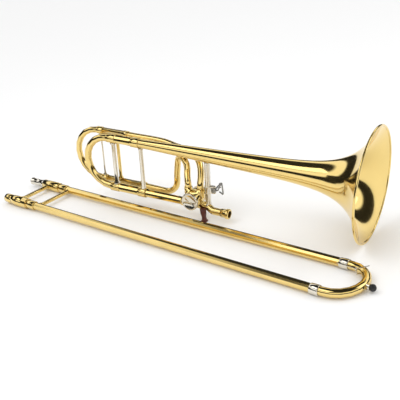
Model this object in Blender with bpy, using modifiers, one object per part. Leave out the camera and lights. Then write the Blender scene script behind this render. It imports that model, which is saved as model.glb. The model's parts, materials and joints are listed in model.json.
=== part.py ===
"""Tenor trombone with an F attachment, taken apart as it lies: the bell section stands on
its rim and on a rest post, and the closed hand slide lies on the floor in front of it.
Sizes are in metres, +Z is up and the floor is at Z = 0.

Two empties carry the two halves. In the bell section's own frame +X runs along the bell's
axis towards the mouth, with 0 at the rim's face, +Y points to the F attachment's side and
+Z points from the lower tubes to the bell. In the hand slide's own frame +X runs along the
rails towards the bow, with 0 at the bow's end, and +Y points to the mouthpiece side.
"""

import math

import bmesh
import bpy
from mathutils import Vector

# Clearances between pieces
SEAT_GAP = 0.0003        # between soldered or stacked pieces
SLIDING_GAP = 0.0003     # between a tube and the tube that slides in it
PIVOT_GAP = 0.0004       # around pins and between a hub and its ears

# How the two halves lie
SECTION_TILT = math.radians(5.7)      # the bell axis rises towards the tuning slides
SLIDE_YAW = math.radians(-11.5)       # the hand slide's rails against the bell's axis
SLIDE_BOW_AHEAD = 0.0367              # the slide bow's end past the bell rim, along the floor
SLIDE_BOW_ASIDE = 0.1620              # the slide bow's end in front of the bell's axis

# Bell
RIM_RADIUS = 0.1020
BEAD_RADIUS = 0.0022
BELL_LENGTH = 0.4660
BELL_TAIL_RADIUS = 0.0082
BELL_TAPER = 0.0343                   # growth of the radius along the stem
FLARE_LENGTH = 0.0360                 # the flare grows by a factor of e over this length
BELL_WALL = 0.0007
BELL_STEPS = 26
BELL_RINGS = 12

# Main tuning slide and the sleeves that it runs in
LEG_SPACING = 0.1054                  # bell axis to lower leg
SLEEVE_RADIUS = 0.0082
SLEEVE_WALL = 0.0006
SLEEVE_START = 0.5160                 # back from the rim, where the slide's ferrules meet the sleeves
SLEEVE_FERRULE_LENGTH = 0.0180
FERRULE_WALL = 0.0011
LOWER_SLEEVE_LENGTH = 0.0490
BOW_RADIUS = 0.0072
BOW_WALL = 0.0006
BOW_FERRULE_LENGTH = 0.0200
BOW_CENTRE = 0.5366                   # back from the rim to the middle of the bow's bend
BRACE_RADIUS = 0.0042
BRACE_FOOT_RADIUS = 0.0066
BRACE_FOOT_LENGTH = 0.0045
BOW_BRACE_BACK = 0.0070               # from the sleeves' ends back to the slide's brace
SLEEVE_BRACE_PLACE = 0.4590
MAIN_LEG_RADIUS = 0.0076
MAIN_LEG_WALL = 0.0006

# F attachment
F_SIDE = 0.0380                       # plane of its legs beside the bell's axis
F_UPPER_HEIGHT = -0.0050
F_LOWER_HEIGHT = -0.1120
F_TUBE_RADIUS = 0.0063
F_TUBE_WALL = 0.0005
F_SLEEVE_RADIUS = 0.0071
F_SLEEVE_START = 0.5730
F_UPPER_SLEEVE_LENGTH = 0.0610
F_LOWER_SLEEVE_LENGTH = 0.0930
F_FERRULE_LENGTH = 0.0140
F_SLEEVE_RING_LENGTH = 0.0110
F_BOW_CENTRE = 0.5876
F_BRACE_RADIUS = 0.0034
F_BRACE_FOOT_RADIUS = 0.0056
F_BRACE_PLACES = (0.5400, 0.4860)
F_BOW_BRACE_RADIUS = 0.0017
F_BOW_BRACE_FOOT_RADIUS = 0.0042
RISER_PLACE = 0.4040                  # the tube that climbs behind the bell from the lower leg
RISER_BEND = 0.0280
ARCH_TOP = -0.0270                    # highest point of the return tube's arch behind the bell

# Valve
VALVE_PLACE = 0.3435
VALVE_DROP = 0.0930
VALVE_RADIUS = 0.0170
VALVE_WALL = 0.0024
VALVE_HALF_DEPTH = 0.0170
PORT_OFFSET = 0.0130                  # each port's axis beside the valve's axis
LEG_PORT_REACH = 0.0285
PORT_REACH = 0.0210
PORT_RADIUS = 0.0078
BEARING_THICKNESS = 0.0034
ROTOR_STEM_RADIUS = 0.0030
ROTOR_CHANNEL_RADIUS = 0.0056
CAP_THICKNESS = 0.0044
CAP_RADIUS = 0.0175
CAP_POCKET_RADIUS = 0.0011
CAP_POCKET_SPACING = 0.0075
STOP_ARM_LENGTH = 0.0095
STOP_ARM_THICKNESS = 0.0030
ARM_REST_ANGLE = math.radians(166.0)  # from +X towards +Z, seen from the player's side
VALVE_TURN = math.radians(90.0)

# Neckpipe, receiver and bell brace
NECK_RADIUS = 0.0072
NECK_WALL = 0.0006
NECK_SIDE = -0.0055
NECK_DROP = 0.1102
NECK_BEND_END = 0.3000
RECEIVER_START = 0.2840
RECEIVER_LENGTH = 0.0170
RECEIVER_SMALL_RADIUS = 0.0085
RECEIVER_RADIUS = 0.0100
RECEIVER_BORE = 0.0070
BELL_BRACE_PLACE = 0.3135
BELL_BRACE_RADIUS = 0.0055

# Thumb lever
PIVOT_PLACE = 0.3015
PIVOT_SIDE = 0.0020
PIVOT_HEIGHT = -0.0690
PIN_RADIUS = 0.0015
HUB_RADIUS = 0.0040
HUB_HEIGHT = 0.0084
EAR_THICKNESS = 0.0024
SADDLE_WALL = 0.0022
LEVER_ARM_LENGTH = 0.0260
LEVER_ARM_RADIUS = 0.0019
WIRE_RADIUS = 0.0015
LOOP_CORNERS = ((-0.2940, -0.0690), (-0.2854, -0.0504), (-0.2826, -0.0755))
ROD_RADIUS = 0.0013
ROD_SIDE = 0.0074                     # from the casing's end to the linkage rod's plane
EYE_THICKNESS = 0.0030
ROD_DROP = 0.0066                     # the rod's end under the lever's eye

# Rest post
POST_PLACE = 0.3215
POST_SIDE = -0.0100
POST_FOOT_RADIUS = 0.0068
POST_WAIST_RADIUS = 0.0044
POST_HEAD_RADIUS = 0.0060
POST_HEIGHT = 0.0270

# Hand slide
RAIL_SPACING = 0.0885
OUTER_TUBE_RADIUS = 0.0076
OUTER_TUBE_WALL = 0.0005
INNER_TUBE_WALL = 0.0005
INNER_TUBE_END = 0.0900               # back from the bow's end to the inner tubes' free ends
SLIDE_BOW_WALL = 0.0006
BOW_RING_LENGTH = 0.0160
BOW_RING_PLACE = 0.0570
TOP_RING_LENGTH = 0.0230
TOP_RING_RADIUS = 0.0095
TOP_RING_GAP = 0.0015                 # between the closed slide's rings and the barrels
BARREL_END = 0.7810
BARREL_LENGTH = 0.0520
BARREL_RADIUS = 0.0108
BARREL_WALL = 0.0008
INNER_BRACE_PLACE = 0.8160
OUTER_BRACE_PLACE = 0.7480
SLIDE_BRACE_RADIUS = 0.0042
LOCK_RING_LENGTH = 0.0150
LOCK_RING_WALL = 0.0011
NUT_LENGTH = 0.0215
NUT_RADIUS = 0.0098
TENON_REACH = 0.0240
TENON_RADIUS = 0.0064
MOUTHPIECE_RECEIVER_LENGTH = 0.0440
MOUTHPIECE_RECEIVER_RADIUS = 0.0076
MOUTHPIECE_BORE = 0.0058
BUMPER_RADIUS = 0.0062
BUMPER_BASE_RADIUS = 0.0050
BUMPER_BASE_LENGTH = 0.0040
KEY_ANGLE = math.radians(52.0)        # round the bow from its end to the water key
KEY_LENGTH = 0.0360
KEY_THICKNESS = 0.0018
KEY_PIN_RADIUS = 0.0011
KEY_POST_HEIGHT = 0.0062
KEY_RISE = 0.0096                     # height of the lever over the bow's axis
KEY_CORK_OUT = 0.0080                 # how far the lever reaches past the bow's axis

# Fineness of round pieces
FINE_STEPS = 16
TUBE_SIDES = 12
SMALL_SIDES = 10
WIRE_SIDES = 8
SEAT_SIDES = 24
BEND_STEPS = 10
MERGE = 0.00001

# Finishes: colour, roughness, metallic
FINISHES = {
    "lacquered_brass": ((0.83, 0.60, 0.24), 0.16, 1.0),
    "nickel_silver": ((0.74, 0.71, 0.65), 0.20, 1.0),
    "chrome": ((0.80, 0.81, 0.82), 0.08, 1.0),
    "steel": ((0.48, 0.48, 0.47), 0.30, 1.0),
    "cork": ((0.55, 0.37, 0.20), 0.90, 0.0),
    "black_rubber": ((0.03, 0.03, 0.03), 0.55, 0.0),
    "dark_leather": ((0.12, 0.035, 0.025), 0.50, 0.0),
}


def clear_scene():
    for thing in list(bpy.data.objects):
        bpy.data.objects.remove(thing)


def make_collections():
    parts = bpy.data.collections.new("tenor_trombone")
    cutters = bpy.data.collections.new("cutters")
    bpy.context.scene.collection.children.link(parts)
    bpy.context.scene.collection.children.link(cutters)
    return parts, cutters


def make_materials():
    made = {}
    for name, (colour, roughness, metallic) in FINISHES.items():
        material = bpy.data.materials.new(name)
        material.use_nodes = True
        shader = material.node_tree.nodes["Principled BSDF"]
        shader.inputs["Base Color"].default_value = (*colour, 1.0)
        shader.inputs["Roughness"].default_value = roughness
        shader.inputs["Metallic"].default_value = metallic
        made[name] = material
    return made


clear_scene()
PARTS, CUTTERS = make_collections()
MATERIALS = make_materials()


def make_empty(name, parent=None, place=(0, 0, 0), turn=(0, 0, 0)):
    empty = bpy.data.objects.new(name, None)
    empty.location = place
    empty.rotation_euler = turn
    empty.parent = parent
    PARTS.objects.link(empty)
    return empty


def add_part(name, data, finish, parent):
    part = bpy.data.objects.new(name, data)
    data.materials.append(MATERIALS[finish])
    part.parent = parent
    PARTS.objects.link(part)
    return part


def shade(mesh, angle=40.0):
    mesh.shade_smooth()
    mesh.set_sharp_from_angle(angle=math.radians(angle))


def aim(part, place, direction):
    """Put a piece's own origin at place, with its own +Z along direction."""
    part.location = place
    part.rotation_mode = "QUATERNION"
    part.rotation_quaternion = Vector((0, 0, 1)).rotation_difference(Vector(direction))


def add_screw(part, steps):
    screw = part.modifiers.new("turn", "SCREW")
    screw.axis = "Z"
    screw.steps = steps
    screw.render_steps = steps
    screw.use_merge_vertices = True
    screw.merge_threshold = MERGE
    screw.use_smooth_shade = True
    return screw


def turned(name, profile, finish, parent, place=(0, 0, 0), direction=(1, 0, 0), steps=FINE_STEPS):
    """A turned piece. The profile is a list of (along, radius), from the front end down the
    outer side, and it closes up the bore unless it starts and ends on the axis."""
    mesh = bpy.data.meshes.new(name)
    points = [(radius, 0, along) for along, radius in profile]
    edges = [(i, i + 1) for i in range(len(points) - 1)]
    on_axis = profile[0][1] == 0 and profile[-1][1] == 0
    if not on_axis:
        edges.append((len(points) - 1, 0))
    mesh.from_pydata(points, edges, [])
    part = add_part(name, mesh, finish, parent)
    add_screw(part, steps)
    aim(part, place, direction)
    return part


def ring_profile(front, back, radius, bore):
    return [(front, radius), (back, radius), (back, bore), (front, bore)]


def tube(name, points, radius, wall, finish, parent, sides=TUBE_SIDES):
    """A tube or, with no wall, a rod along a list of points."""
    curve = bpy.data.curves.new(name, "CURVE")
    curve.dimensions = "3D"
    spline = curve.splines.new("POLY")
    spline.points.add(len(points) - 1)
    for point, place in zip(spline.points, points):
        point.co = (*place, 1.0)
        point.radius = 1.0
    curve.bevel_depth = radius
    curve.bevel_resolution = (sides - 4) // 2
    curve.use_fill_caps = wall is None
    part = add_part(name, curve, finish, parent)
    if wall is not None:
        shell = part.modifiers.new("wall", "SOLIDIFY")
        shell.thickness = wall
        shell.offset = -1.0
    return part


def as_mesh(part):
    """The same piece as a plain mesh, for a part that is cut or joined."""
    bpy.context.view_layer.update()
    graph = bpy.context.evaluated_depsgraph_get()
    mesh = bpy.data.meshes.new_from_object(part.evaluated_get(graph))
    work = bmesh.new()
    work.from_mesh(mesh)
    bmesh.ops.remove_doubles(work, verts=work.verts, dist=MERGE)
    bmesh.ops.recalc_face_normals(work, faces=work.faces)
    work.to_mesh(mesh)
    work.free()
    name = part.name
    parent = part.parent
    matrix = part.matrix_world.copy()
    old = part.data
    bpy.data.objects.remove(part)
    if isinstance(old, bpy.types.Curve):
        bpy.data.curves.remove(old)
    else:
        bpy.data.meshes.remove(old)
    mesh.name = name
    made = bpy.data.objects.new(name, mesh)
    PARTS.objects.link(made)
    made.parent = parent
    made.matrix_world = matrix
    return made


def as_cutter(part):
    """Move a finished mesh piece to the cutters, where it only shapes other pieces."""
    PARTS.objects.unlink(part)
    CUTTERS.objects.link(part)
    part.hide_render = True
    part.display_type = "WIRE"
    return part


def combine(part, other, operation):
    boolean = part.modifiers.new(operation.lower(), "BOOLEAN")
    boolean.operation = operation
    boolean.object = other
    return part


def cut(part, cutters):
    for cutter in cutters:
        combine(part, cutter, "DIFFERENCE")
    return part


def round_cutter(name, points, radius, parent, sides=TUBE_SIDES):
    return as_cutter(as_mesh(tube(name, points, radius, None, "steel", parent, sides)))


def straight(start, end):
    return [Vector(start), Vector(end)]


def bend(centre, radius, first, last, side, steps=BEND_STEPS):
    """Points round an arc in a plane of constant Y, angles from +X towards +Z."""
    cx, cz = centre
    angles = [first + (last - first) * i / steps for i in range(steps + 1)]
    return [Vector((cx + radius * math.cos(a), side, cz + radius * math.sin(a))) for a in angles]


def smooth_path(knots, steps):
    """Points of a smooth curve through the knots, the same number in each span."""
    knots = [Vector(knot) for knot in knots]
    ends = [2 * knots[0] - knots[1]] + knots + [2 * knots[-1] - knots[-2]]
    points = []
    for before, start, end, after in zip(ends, ends[1:], ends[2:], ends[3:]):
        for i in range(steps):
            t = i / steps
            points.append(0.5 * (2 * start + (end - before) * t
                                 + (2 * before - 5 * start + 4 * end - after) * t ** 2
                                 + (3 * start - before - 3 * end + after) * t ** 3))
    points.append(knots[-1])
    return points


def brace(name, start, end, radius, foot_radius, finish, parent, seats):
    """A round stay with a spread foot at each end, each foot hollowed to sit on its tube."""
    start = Vector(start)
    end = Vector(end)
    length = (end - start).length
    (_, first_seat), (_, last_seat) = seats
    low = first_seat + BRACE_FOOT_LENGTH
    high = length - last_seat - BRACE_FOOT_LENGTH
    inset_low = first_seat * 0.6
    inset_high = length - last_seat * 0.6
    profile = [(inset_high, 0), (inset_high, foot_radius), (high + BRACE_FOOT_LENGTH * 0.7, foot_radius),
               (high, radius), (low, radius), (low - BRACE_FOOT_LENGTH * 0.7, foot_radius),
               (inset_low, foot_radius), (inset_low, 0)]
    part = turned(name, profile, finish, parent, start, end - start, SMALL_SIDES)
    part = as_mesh(part)
    for index, (path, seat) in enumerate(seats):
        cutter = round_cutter(f"{name}_seat_{index}", path, seat + 1.5 * SEAT_GAP, parent, SEAT_SIDES)
        cut(part, [cutter])
    return part


def bell_radius(back):
    """Outer radius of the bell, at a distance back from the rim's face."""
    edge = RIM_RADIUS - 2 * BEAD_RADIUS - SEAT_GAP
    stem_at_edge = BELL_TAIL_RADIUS + BELL_TAPER * (BELL_LENGTH - BEAD_RADIUS)
    gain = (edge - stem_at_edge) * math.exp(BEAD_RADIUS / FLARE_LENGTH)
    stem = BELL_TAIL_RADIUS + BELL_TAPER * (BELL_LENGTH - back)
    return stem + gain * math.exp(-back / FLARE_LENGTH)


def make_bell(section):
    span = BELL_LENGTH - BEAD_RADIUS
    backs = [BEAD_RADIUS + span * (i / (BELL_RINGS - 1)) ** 2.2 for i in range(BELL_RINGS)]
    mesh = bpy.data.meshes.new("bell")
    points = [(bell_radius(back), 0, -back) for back in backs]
    edges = [(i, i + 1) for i in range(len(points) - 1)]
    mesh.from_pydata(points, edges, [])
    bell = add_part("bell", mesh, "lacquered_brass", section)
    add_screw(bell, BELL_STEPS)
    shell = bell.modifiers.new("wall", "SOLIDIFY")
    shell.thickness = BELL_WALL
    shell.offset = -1.0
    aim(bell, (0, 0, 0), (1, 0, 0))
    bead_circle = RIM_RADIUS - BEAD_RADIUS
    bead = [(-BEAD_RADIUS + BEAD_RADIUS * math.sin(a), bead_circle + BEAD_RADIUS * math.cos(a))
            for a in (math.pi / 2 - math.tau * i / WIRE_SIDES for i in range(WIRE_SIDES))]
    turned("bell_rim_bead", bead, "lacquered_brass", section, steps=BELL_STEPS)


def make_ferrule(name, front, back, radius, bore, finish, parent, side, height):
    """A collar round a tube that runs along X, with a rounded-off outer edge."""
    ease = min(0.0008, (front - back) / 4)
    profile = [(front, radius - ease / 2), (front - ease, radius), (back + ease, radius),
               (back, radius - ease / 2), (back, bore), (front, bore)]
    return turned(name, profile, finish, parent, (0, side, height), (1, 0, 0))


def leg_tube(name, back, front, radius, wall, finish, parent, side, height, sides=TUBE_SIDES):
    return tube(name, straight((-back, side, height), (-front, side, height)), radius, wall,
                finish, parent, sides)


def make_fixed_sleeves(section):
    ferrule_radius = SLEEVE_RADIUS + SEAT_GAP + FERRULE_WALL
    bore = SLEEVE_RADIUS + SEAT_GAP
    sleeve_start = SLEEVE_START - SEAT_GAP
    leg_tube("upper_tuning_sleeve", sleeve_start, BELL_LENGTH + SEAT_GAP, SLEEVE_RADIUS, SLEEVE_WALL,
             "lacquered_brass", section, 0, 0)
    back = -(BELL_LENGTH + SLEEVE_FERRULE_LENGTH * 0.7)
    make_ferrule("bell_tail_ferrule", back + SLEEVE_FERRULE_LENGTH, back,
                 ferrule_radius + BELL_TAPER * SLEEVE_FERRULE_LENGTH / 2,
                 bore + BELL_TAPER * SLEEVE_FERRULE_LENGTH / 3, "lacquered_brass", section, 0, 0)
    lower_end = sleeve_start - LOWER_SLEEVE_LENGTH
    leg_tube("lower_tuning_sleeve", sleeve_start, lower_end, SLEEVE_RADIUS, SLEEVE_WALL,
             "lacquered_brass", section, 0, -LEG_SPACING)
    ferrule_back = -(lower_end + SLEEVE_FERRULE_LENGTH / 4)
    make_ferrule("lower_sleeve_ferrule", ferrule_back + SLEEVE_FERRULE_LENGTH, ferrule_back,
                 ferrule_radius, bore, "lacquered_brass", section, 0, -LEG_SPACING)
    leg_tube("lower_main_tube", lower_end - SEAT_GAP, VALVE_PLACE + LEG_PORT_REACH + SEAT_GAP,
             MAIN_LEG_RADIUS, MAIN_LEG_WALL, "lacquered_brass", section, 0, -LEG_SPACING)
    tail_seat = bell_radius(SLEEVE_BRACE_PLACE)
    bell_line = straight((-SLEEVE_BRACE_PLACE - 0.02, 0, 0), (-SLEEVE_BRACE_PLACE + 0.02, 0, 0))
    leg_line = [point - Vector((0, 0, LEG_SPACING)) for point in bell_line]
    brace("sleeve_brace", (-SLEEVE_BRACE_PLACE, 0, 0), (-SLEEVE_BRACE_PLACE, 0, -LEG_SPACING),
          BRACE_RADIUS, BRACE_RADIUS + 0.0012, "nickel_silver", section,
          ((bell_line, tail_seat + FERRULE_WALL + 2 * SEAT_GAP), (leg_line, ferrule_radius)))


def make_slide_leg(name, front, ferrule_length, ferrule_radius, leg_end, leg_radius, bow_radius,
                   side, height, parent):
    """A tuning slide's leg: the ferrule that the bow's tube ends in, and the tube that runs
    in the sleeve."""
    wall = BOW_WALL
    middle = front - ferrule_length / 2
    ease = 0.0008
    profile = [(leg_end, leg_radius), (front, leg_radius), (front, ferrule_radius - ease / 2),
               (front - ease, ferrule_radius), (front - ferrule_length + ease, ferrule_radius),
               (front - ferrule_length, ferrule_radius - ease / 2),
               (front - ferrule_length, bow_radius + SEAT_GAP), (middle, bow_radius + SEAT_GAP),
               (middle, leg_radius - wall), (leg_end, leg_radius - wall)]
    return turned(name, profile, "lacquered_brass", parent, (0, side, height), (1, 0, 0))


def make_main_tuning_slide(section):
    slide = make_empty("main_tuning_slide_frame", section, (-SLEEVE_START, 0, 0))
    radius = LEG_SPACING / 2
    middle = SLEEVE_START - BOW_CENTRE
    bow_end = -BOW_FERRULE_LENGTH / 2 - SEAT_GAP
    points = ([Vector((bow_end, 0, 0))]
              + bend((middle, -radius), radius, math.pi / 2, 3 * math.pi / 2, 0)
              + [Vector((bow_end, 0, -LEG_SPACING))])
    tube("main_tuning_bow", points, BOW_RADIUS, BOW_WALL, "lacquered_brass", slide)
    leg_radius = SLEEVE_RADIUS - SLEEVE_WALL - SLIDING_GAP
    ferrule_radius = SLEEVE_RADIUS + FERRULE_WALL * 0.7
    leg_end = SLEEVE_START - BELL_LENGTH - 0.002
    for name, height in (("upper_tuning_leg", 0), ("lower_tuning_leg", -LEG_SPACING)):
        make_slide_leg(name, 0, BOW_FERRULE_LENGTH, ferrule_radius, leg_end, leg_radius, BOW_RADIUS,
                       0, height, slide)
    line = straight((-0.03, 0, 0), (0.03, 0, 0))
    lower_line = [point - Vector((0, 0, LEG_SPACING)) for point in line]
    brace("tuning_slide_brace", (-BOW_BRACE_BACK, 0, 0), (-BOW_BRACE_BACK, 0, -LEG_SPACING),
          BRACE_RADIUS, BRACE_FOOT_RADIUS, "nickel_silver", slide,
          ((line, ferrule_radius), (lower_line, ferrule_radius)))
    return slide


def make_f_tuning_slide(section):
    slide = make_empty("f_tuning_slide_frame", section, (-F_SLEEVE_START, F_SIDE, 0))
    radius = (F_UPPER_HEIGHT - F_LOWER_HEIGHT) / 2
    middle_height = (F_UPPER_HEIGHT + F_LOWER_HEIGHT) / 2
    bow_end = -F_FERRULE_LENGTH / 2 - SEAT_GAP
    points = ([Vector((bow_end, 0, F_UPPER_HEIGHT))]
              + bend((F_SLEEVE_START - F_BOW_CENTRE, middle_height), radius, math.pi / 2,
                     3 * math.pi / 2, 0)
              + [Vector((bow_end, 0, F_LOWER_HEIGHT))])
    tube("f_tuning_bow", points, F_TUBE_RADIUS, F_TUBE_WALL, "lacquered_brass", slide, SMALL_SIDES)
    leg_radius = F_SLEEVE_RADIUS - F_TUBE_WALL - SLIDING_GAP
    ferrule_radius = F_SLEEVE_RADIUS + FERRULE_WALL * 0.6
    leg_end = F_UPPER_SLEEVE_LENGTH - F_SLEEVE_RING_LENGTH / 2 - 0.0020
    for name, height in (("upper_f_tuning_leg", F_UPPER_HEIGHT), ("lower_f_tuning_leg", F_LOWER_HEIGHT)):
        make_slide_leg(name, 0, F_FERRULE_LENGTH, ferrule_radius, leg_end, leg_radius, F_TUBE_RADIUS,
                       0, height, slide)
    place = -F_FERRULE_LENGTH * 0.45
    line = straight((-0.03, 0, F_UPPER_HEIGHT), (0.03, 0, F_UPPER_HEIGHT))
    lower_line = straight((-0.03, 0, F_LOWER_HEIGHT), (0.03, 0, F_LOWER_HEIGHT))
    brace("f_tuning_slide_brace", (place, 0, F_UPPER_HEIGHT), (place, 0, F_LOWER_HEIGHT),
          F_BOW_BRACE_RADIUS, F_BOW_BRACE_FOOT_RADIUS, "nickel_silver", slide,
          ((line, ferrule_radius), (lower_line, ferrule_radius)))
    return slide


def f_sleeve(name, length, height, section):
    """A fixed sleeve with the ring at its inner end, which the next tube is soldered into."""
    start = -(F_SLEEVE_START - SEAT_GAP)
    end = start + length
    ring_radius = F_SLEEVE_RADIUS + FERRULE_WALL * 0.6
    step = end - F_SLEEVE_RING_LENGTH / 2
    bore = F_SLEEVE_RADIUS - F_TUBE_WALL
    profile = [(end, ring_radius), (end - F_SLEEVE_RING_LENGTH, ring_radius),
               (end - F_SLEEVE_RING_LENGTH, F_SLEEVE_RADIUS), (start, F_SLEEVE_RADIUS), (start, bore),
               (step, bore), (step, F_TUBE_RADIUS + SEAT_GAP), (end, F_TUBE_RADIUS + SEAT_GAP)]
    turned(name, profile, "lacquered_brass", section, (0, F_SIDE, height), (1, 0, 0))
    return step + SEAT_GAP


def make_f_tubing(section):
    upper_start = f_sleeve("upper_f_sleeve", F_UPPER_SLEEVE_LENGTH, F_UPPER_HEIGHT, section)
    lower_start = f_sleeve("lower_f_sleeve", F_LOWER_SLEEVE_LENGTH, F_LOWER_HEIGHT, section)
    left_port = -VALVE_PLACE - PORT_OFFSET
    right_port = -VALVE_PLACE + PORT_OFFSET
    port_end = -VALVE_DROP + PORT_REACH + SEAT_GAP
    feed = smooth_path([(upper_start, F_SIDE, F_UPPER_HEIGHT), (-0.4800, F_SIDE, F_UPPER_HEIGHT),
                        (-0.4480, F_SIDE, F_UPPER_HEIGHT), (-0.4240, F_SIDE, -0.0062),
                        (-0.4020, 0.0370, -0.0102), (-0.3820, 0.0350, -0.0128),
                        (-0.3620, 0.0310, -0.0165), (-0.3460, 0.0245, -0.0250),
                        (-0.3375, 0.0170, -0.0375), (-0.3330, 0.0085, -0.0510),
                        (right_port - 0.0005, 0.0015, -0.0620), (right_port, 0, port_end + 0.0040)], 2)
    feed.append(Vector((right_port, 0, port_end)))
    tube("f_feed_tube", feed, F_TUBE_RADIUS, F_TUBE_WALL, "lacquered_brass", section, SMALL_SIDES)
    corner = -(RISER_PLACE + RISER_BEND)
    low = F_LOWER_HEIGHT - 0.0015
    first = straight((lower_start, F_SIDE, F_LOWER_HEIGHT), (corner - 0.012, F_SIDE, low + 0.0004))
    lower_bend = bend((corner, low + RISER_BEND), RISER_BEND, -math.pi / 2, 0, F_SIDE, 7)
    arch_start = Vector((-0.3990, 0.0360, ARCH_TOP - 0.0180))
    arch_end = Vector((-0.3680, 0.0195, ARCH_TOP - 0.0180))
    arch_middle = (arch_start + arch_end) / 2
    arch_half = (arch_end - arch_start) / 2
    arch = [arch_middle - arch_half * math.cos(a) + Vector((0, 0, 0.0180 * math.sin(a)))
            for a in (math.pi * i / 6 for i in range(7))]
    down = smooth_path([arch_end, (-0.3640, 0.0110, -0.0540), (-0.3585, 0.0025, -0.0625),
                        (left_port, 0, port_end + 0.0035)], 2)
    down.append(Vector((left_port, 0, port_end)))
    climb = [Vector((-0.4030, 0.0378, -0.0680)), Vector((-0.4010, 0.0370, -0.0560))]
    points = first + lower_bend + climb + arch + down[1:]
    tube("f_return_tube", points, F_TUBE_RADIUS, F_TUBE_WALL, "lacquered_brass", section, SMALL_SIDES)
    sleeve_line = straight((-0.60, F_SIDE, F_UPPER_HEIGHT), (-0.45, F_SIDE, F_UPPER_HEIGHT))
    lower_line = straight((-0.60, F_SIDE, F_LOWER_HEIGHT), (-0.45, F_SIDE, F_LOWER_HEIGHT))
    ring_radius = F_SLEEVE_RADIUS + FERRULE_WALL * 0.6
    upper_seats = (F_SLEEVE_RADIUS, F_TUBE_RADIUS)
    lower_seats = (F_SLEEVE_RADIUS, ring_radius)
    for name, place, upper, lower in zip(("f_sleeve_brace_left", "f_sleeve_brace_right"),
                                         F_BRACE_PLACES, upper_seats, lower_seats):
        brace(name, (-place, F_SIDE, F_UPPER_HEIGHT), (-place, F_SIDE, F_LOWER_HEIGHT),
              F_BRACE_RADIUS, F_BRACE_FOOT_RADIUS, "lacquered_brass", section,
              ((sleeve_line, upper), (lower_line, lower)))


def port_lines():
    """The axes of the four ports, from inside the casing outwards."""
    x, z, off = -VALVE_PLACE, -VALVE_DROP, PORT_OFFSET
    leg_height = -LEG_SPACING
    return {
        "leg": straight((x - 0.004, 0, leg_height), (x - LEG_PORT_REACH, 0, leg_height)),
        "neck": straight((x + 0.004, 0, leg_height), (x + PORT_REACH, 0, leg_height)),
        "return": straight((x - off, 0, z + 0.004), (x - off, 0, z + PORT_REACH)),
        "feed": straight((x + off, 0, z + 0.004), (x + off, 0, z + PORT_REACH)),
    }


def make_valve_casing(section):
    centre = (-VALVE_PLACE, 0, -VALVE_DROP)
    axis = (0, 1, 0)
    depth = VALVE_HALF_DEPTH
    body = as_mesh(turned("valve_casing", [(depth, 0), (depth, VALVE_RADIUS), (-depth, VALVE_RADIUS),
                                          (-depth, 0)], "lacquered_brass", section, centre, axis))
    lines = port_lines()
    radii = {"leg": MAIN_LEG_RADIUS + 0.0010, "neck": PORT_RADIUS, "return": PORT_RADIUS, "feed": PORT_RADIUS}
    for port, line in lines.items():
        stub = round_cutter(f"port_{port}", line, radii[port], section)
        combine(body, stub, "UNION")
    bore_profile = [(2 * depth, 0), (2 * depth, VALVE_RADIUS - VALVE_WALL),
                    (-2 * depth, VALVE_RADIUS - VALVE_WALL), (-2 * depth, 0)]
    bore = as_cutter(as_mesh(turned("casing_bore", bore_profile, "steel", section, centre, axis)))
    cut(body, [bore])
    for port, (start, end) in lines.items():
        past = end + (end - start).normalized() * 0.01
        way = round_cutter(f"way_{port}", [start, past], ROTOR_CHANNEL_RADIUS, section, SMALL_SIDES)
        cut(body, [way])
    return body


def make_valve(section):
    centre = Vector((-VALVE_PLACE, 0, -VALVE_DROP))
    depth = VALVE_HALF_DEPTH
    bore = VALVE_RADIUS - VALVE_WALL
    make_valve_casing(section)
    disc = bore - SEAT_GAP
    hole = ROTOR_STEM_RADIUS + PIVOT_GAP
    for name, front in (("valve_back_bearing", depth), ("valve_front_bearing", -depth + BEARING_THICKNESS)):
        turned(name, ring_profile(front, front - BEARING_THICKNESS, disc, hole), "nickel_silver", section,
               centre, (0, 1, 0))
    outer = -depth - SEAT_GAP
    face = outer - CAP_THICKNESS
    ease = 0.0010
    profile = [(outer, 0), (outer, CAP_RADIUS), (face + ease, CAP_RADIUS), (face, CAP_RADIUS - ease),
               (face, CAP_RADIUS - 3 * ease), (face + ease * 0.6, CAP_RADIUS - 3.6 * ease),
               (face + ease * 0.6, 0)]
    cap = as_mesh(turned("valve_front_cap", profile, "nickel_silver", section, centre, (0, 1, 0)))
    for index, side in enumerate((-1, 1)):
        place = centre + Vector((side * CAP_POCKET_SPACING / 2, 0, -side * 0.0012))
        line = [place + Vector((0, face - 0.002, 0)), place + Vector((0, face + 0.0022, 0))]
        cut(cap, [round_cutter(f"cap_pocket_{index}", line, CAP_POCKET_RADIUS, section, WIRE_SIDES)])
    make_stop_plate(section, centre, depth)


def make_stop_plate(section, centre, depth):
    """The fixed plate behind the valve, with a cork at each end of the stop arm's swing."""
    base = depth + SEAT_GAP
    thickness = 0.0016
    reach = STOP_ARM_LENGTH * 0.55
    plate = as_mesh(turned("valve_stop_plate",
                           ring_profile(base + thickness, base, VALVE_RADIUS * 0.82, hole_for_stem()),
                           "nickel_silver", section, centre, (0, 1, 0)))
    margin = math.radians(34.0)
    for index, angle in enumerate((ARM_REST_ANGLE + margin, ARM_REST_ANGLE - VALVE_TURN - margin)):
        place = centre + Vector((reach * math.cos(angle), 0, reach * math.sin(angle))) * 1.6
        line = [place + Vector((0, base + thickness / 2, 0)), place + Vector((0, base + thickness + 0.0034, 0))]
        stop = round_cutter(f"stop_{index}", line, 0.0022, section, SMALL_SIDES)
        combine(plate, stop, "UNION")
    return plate


def hole_for_stem():
    return ROTOR_STEM_RADIUS + PIVOT_GAP


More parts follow.
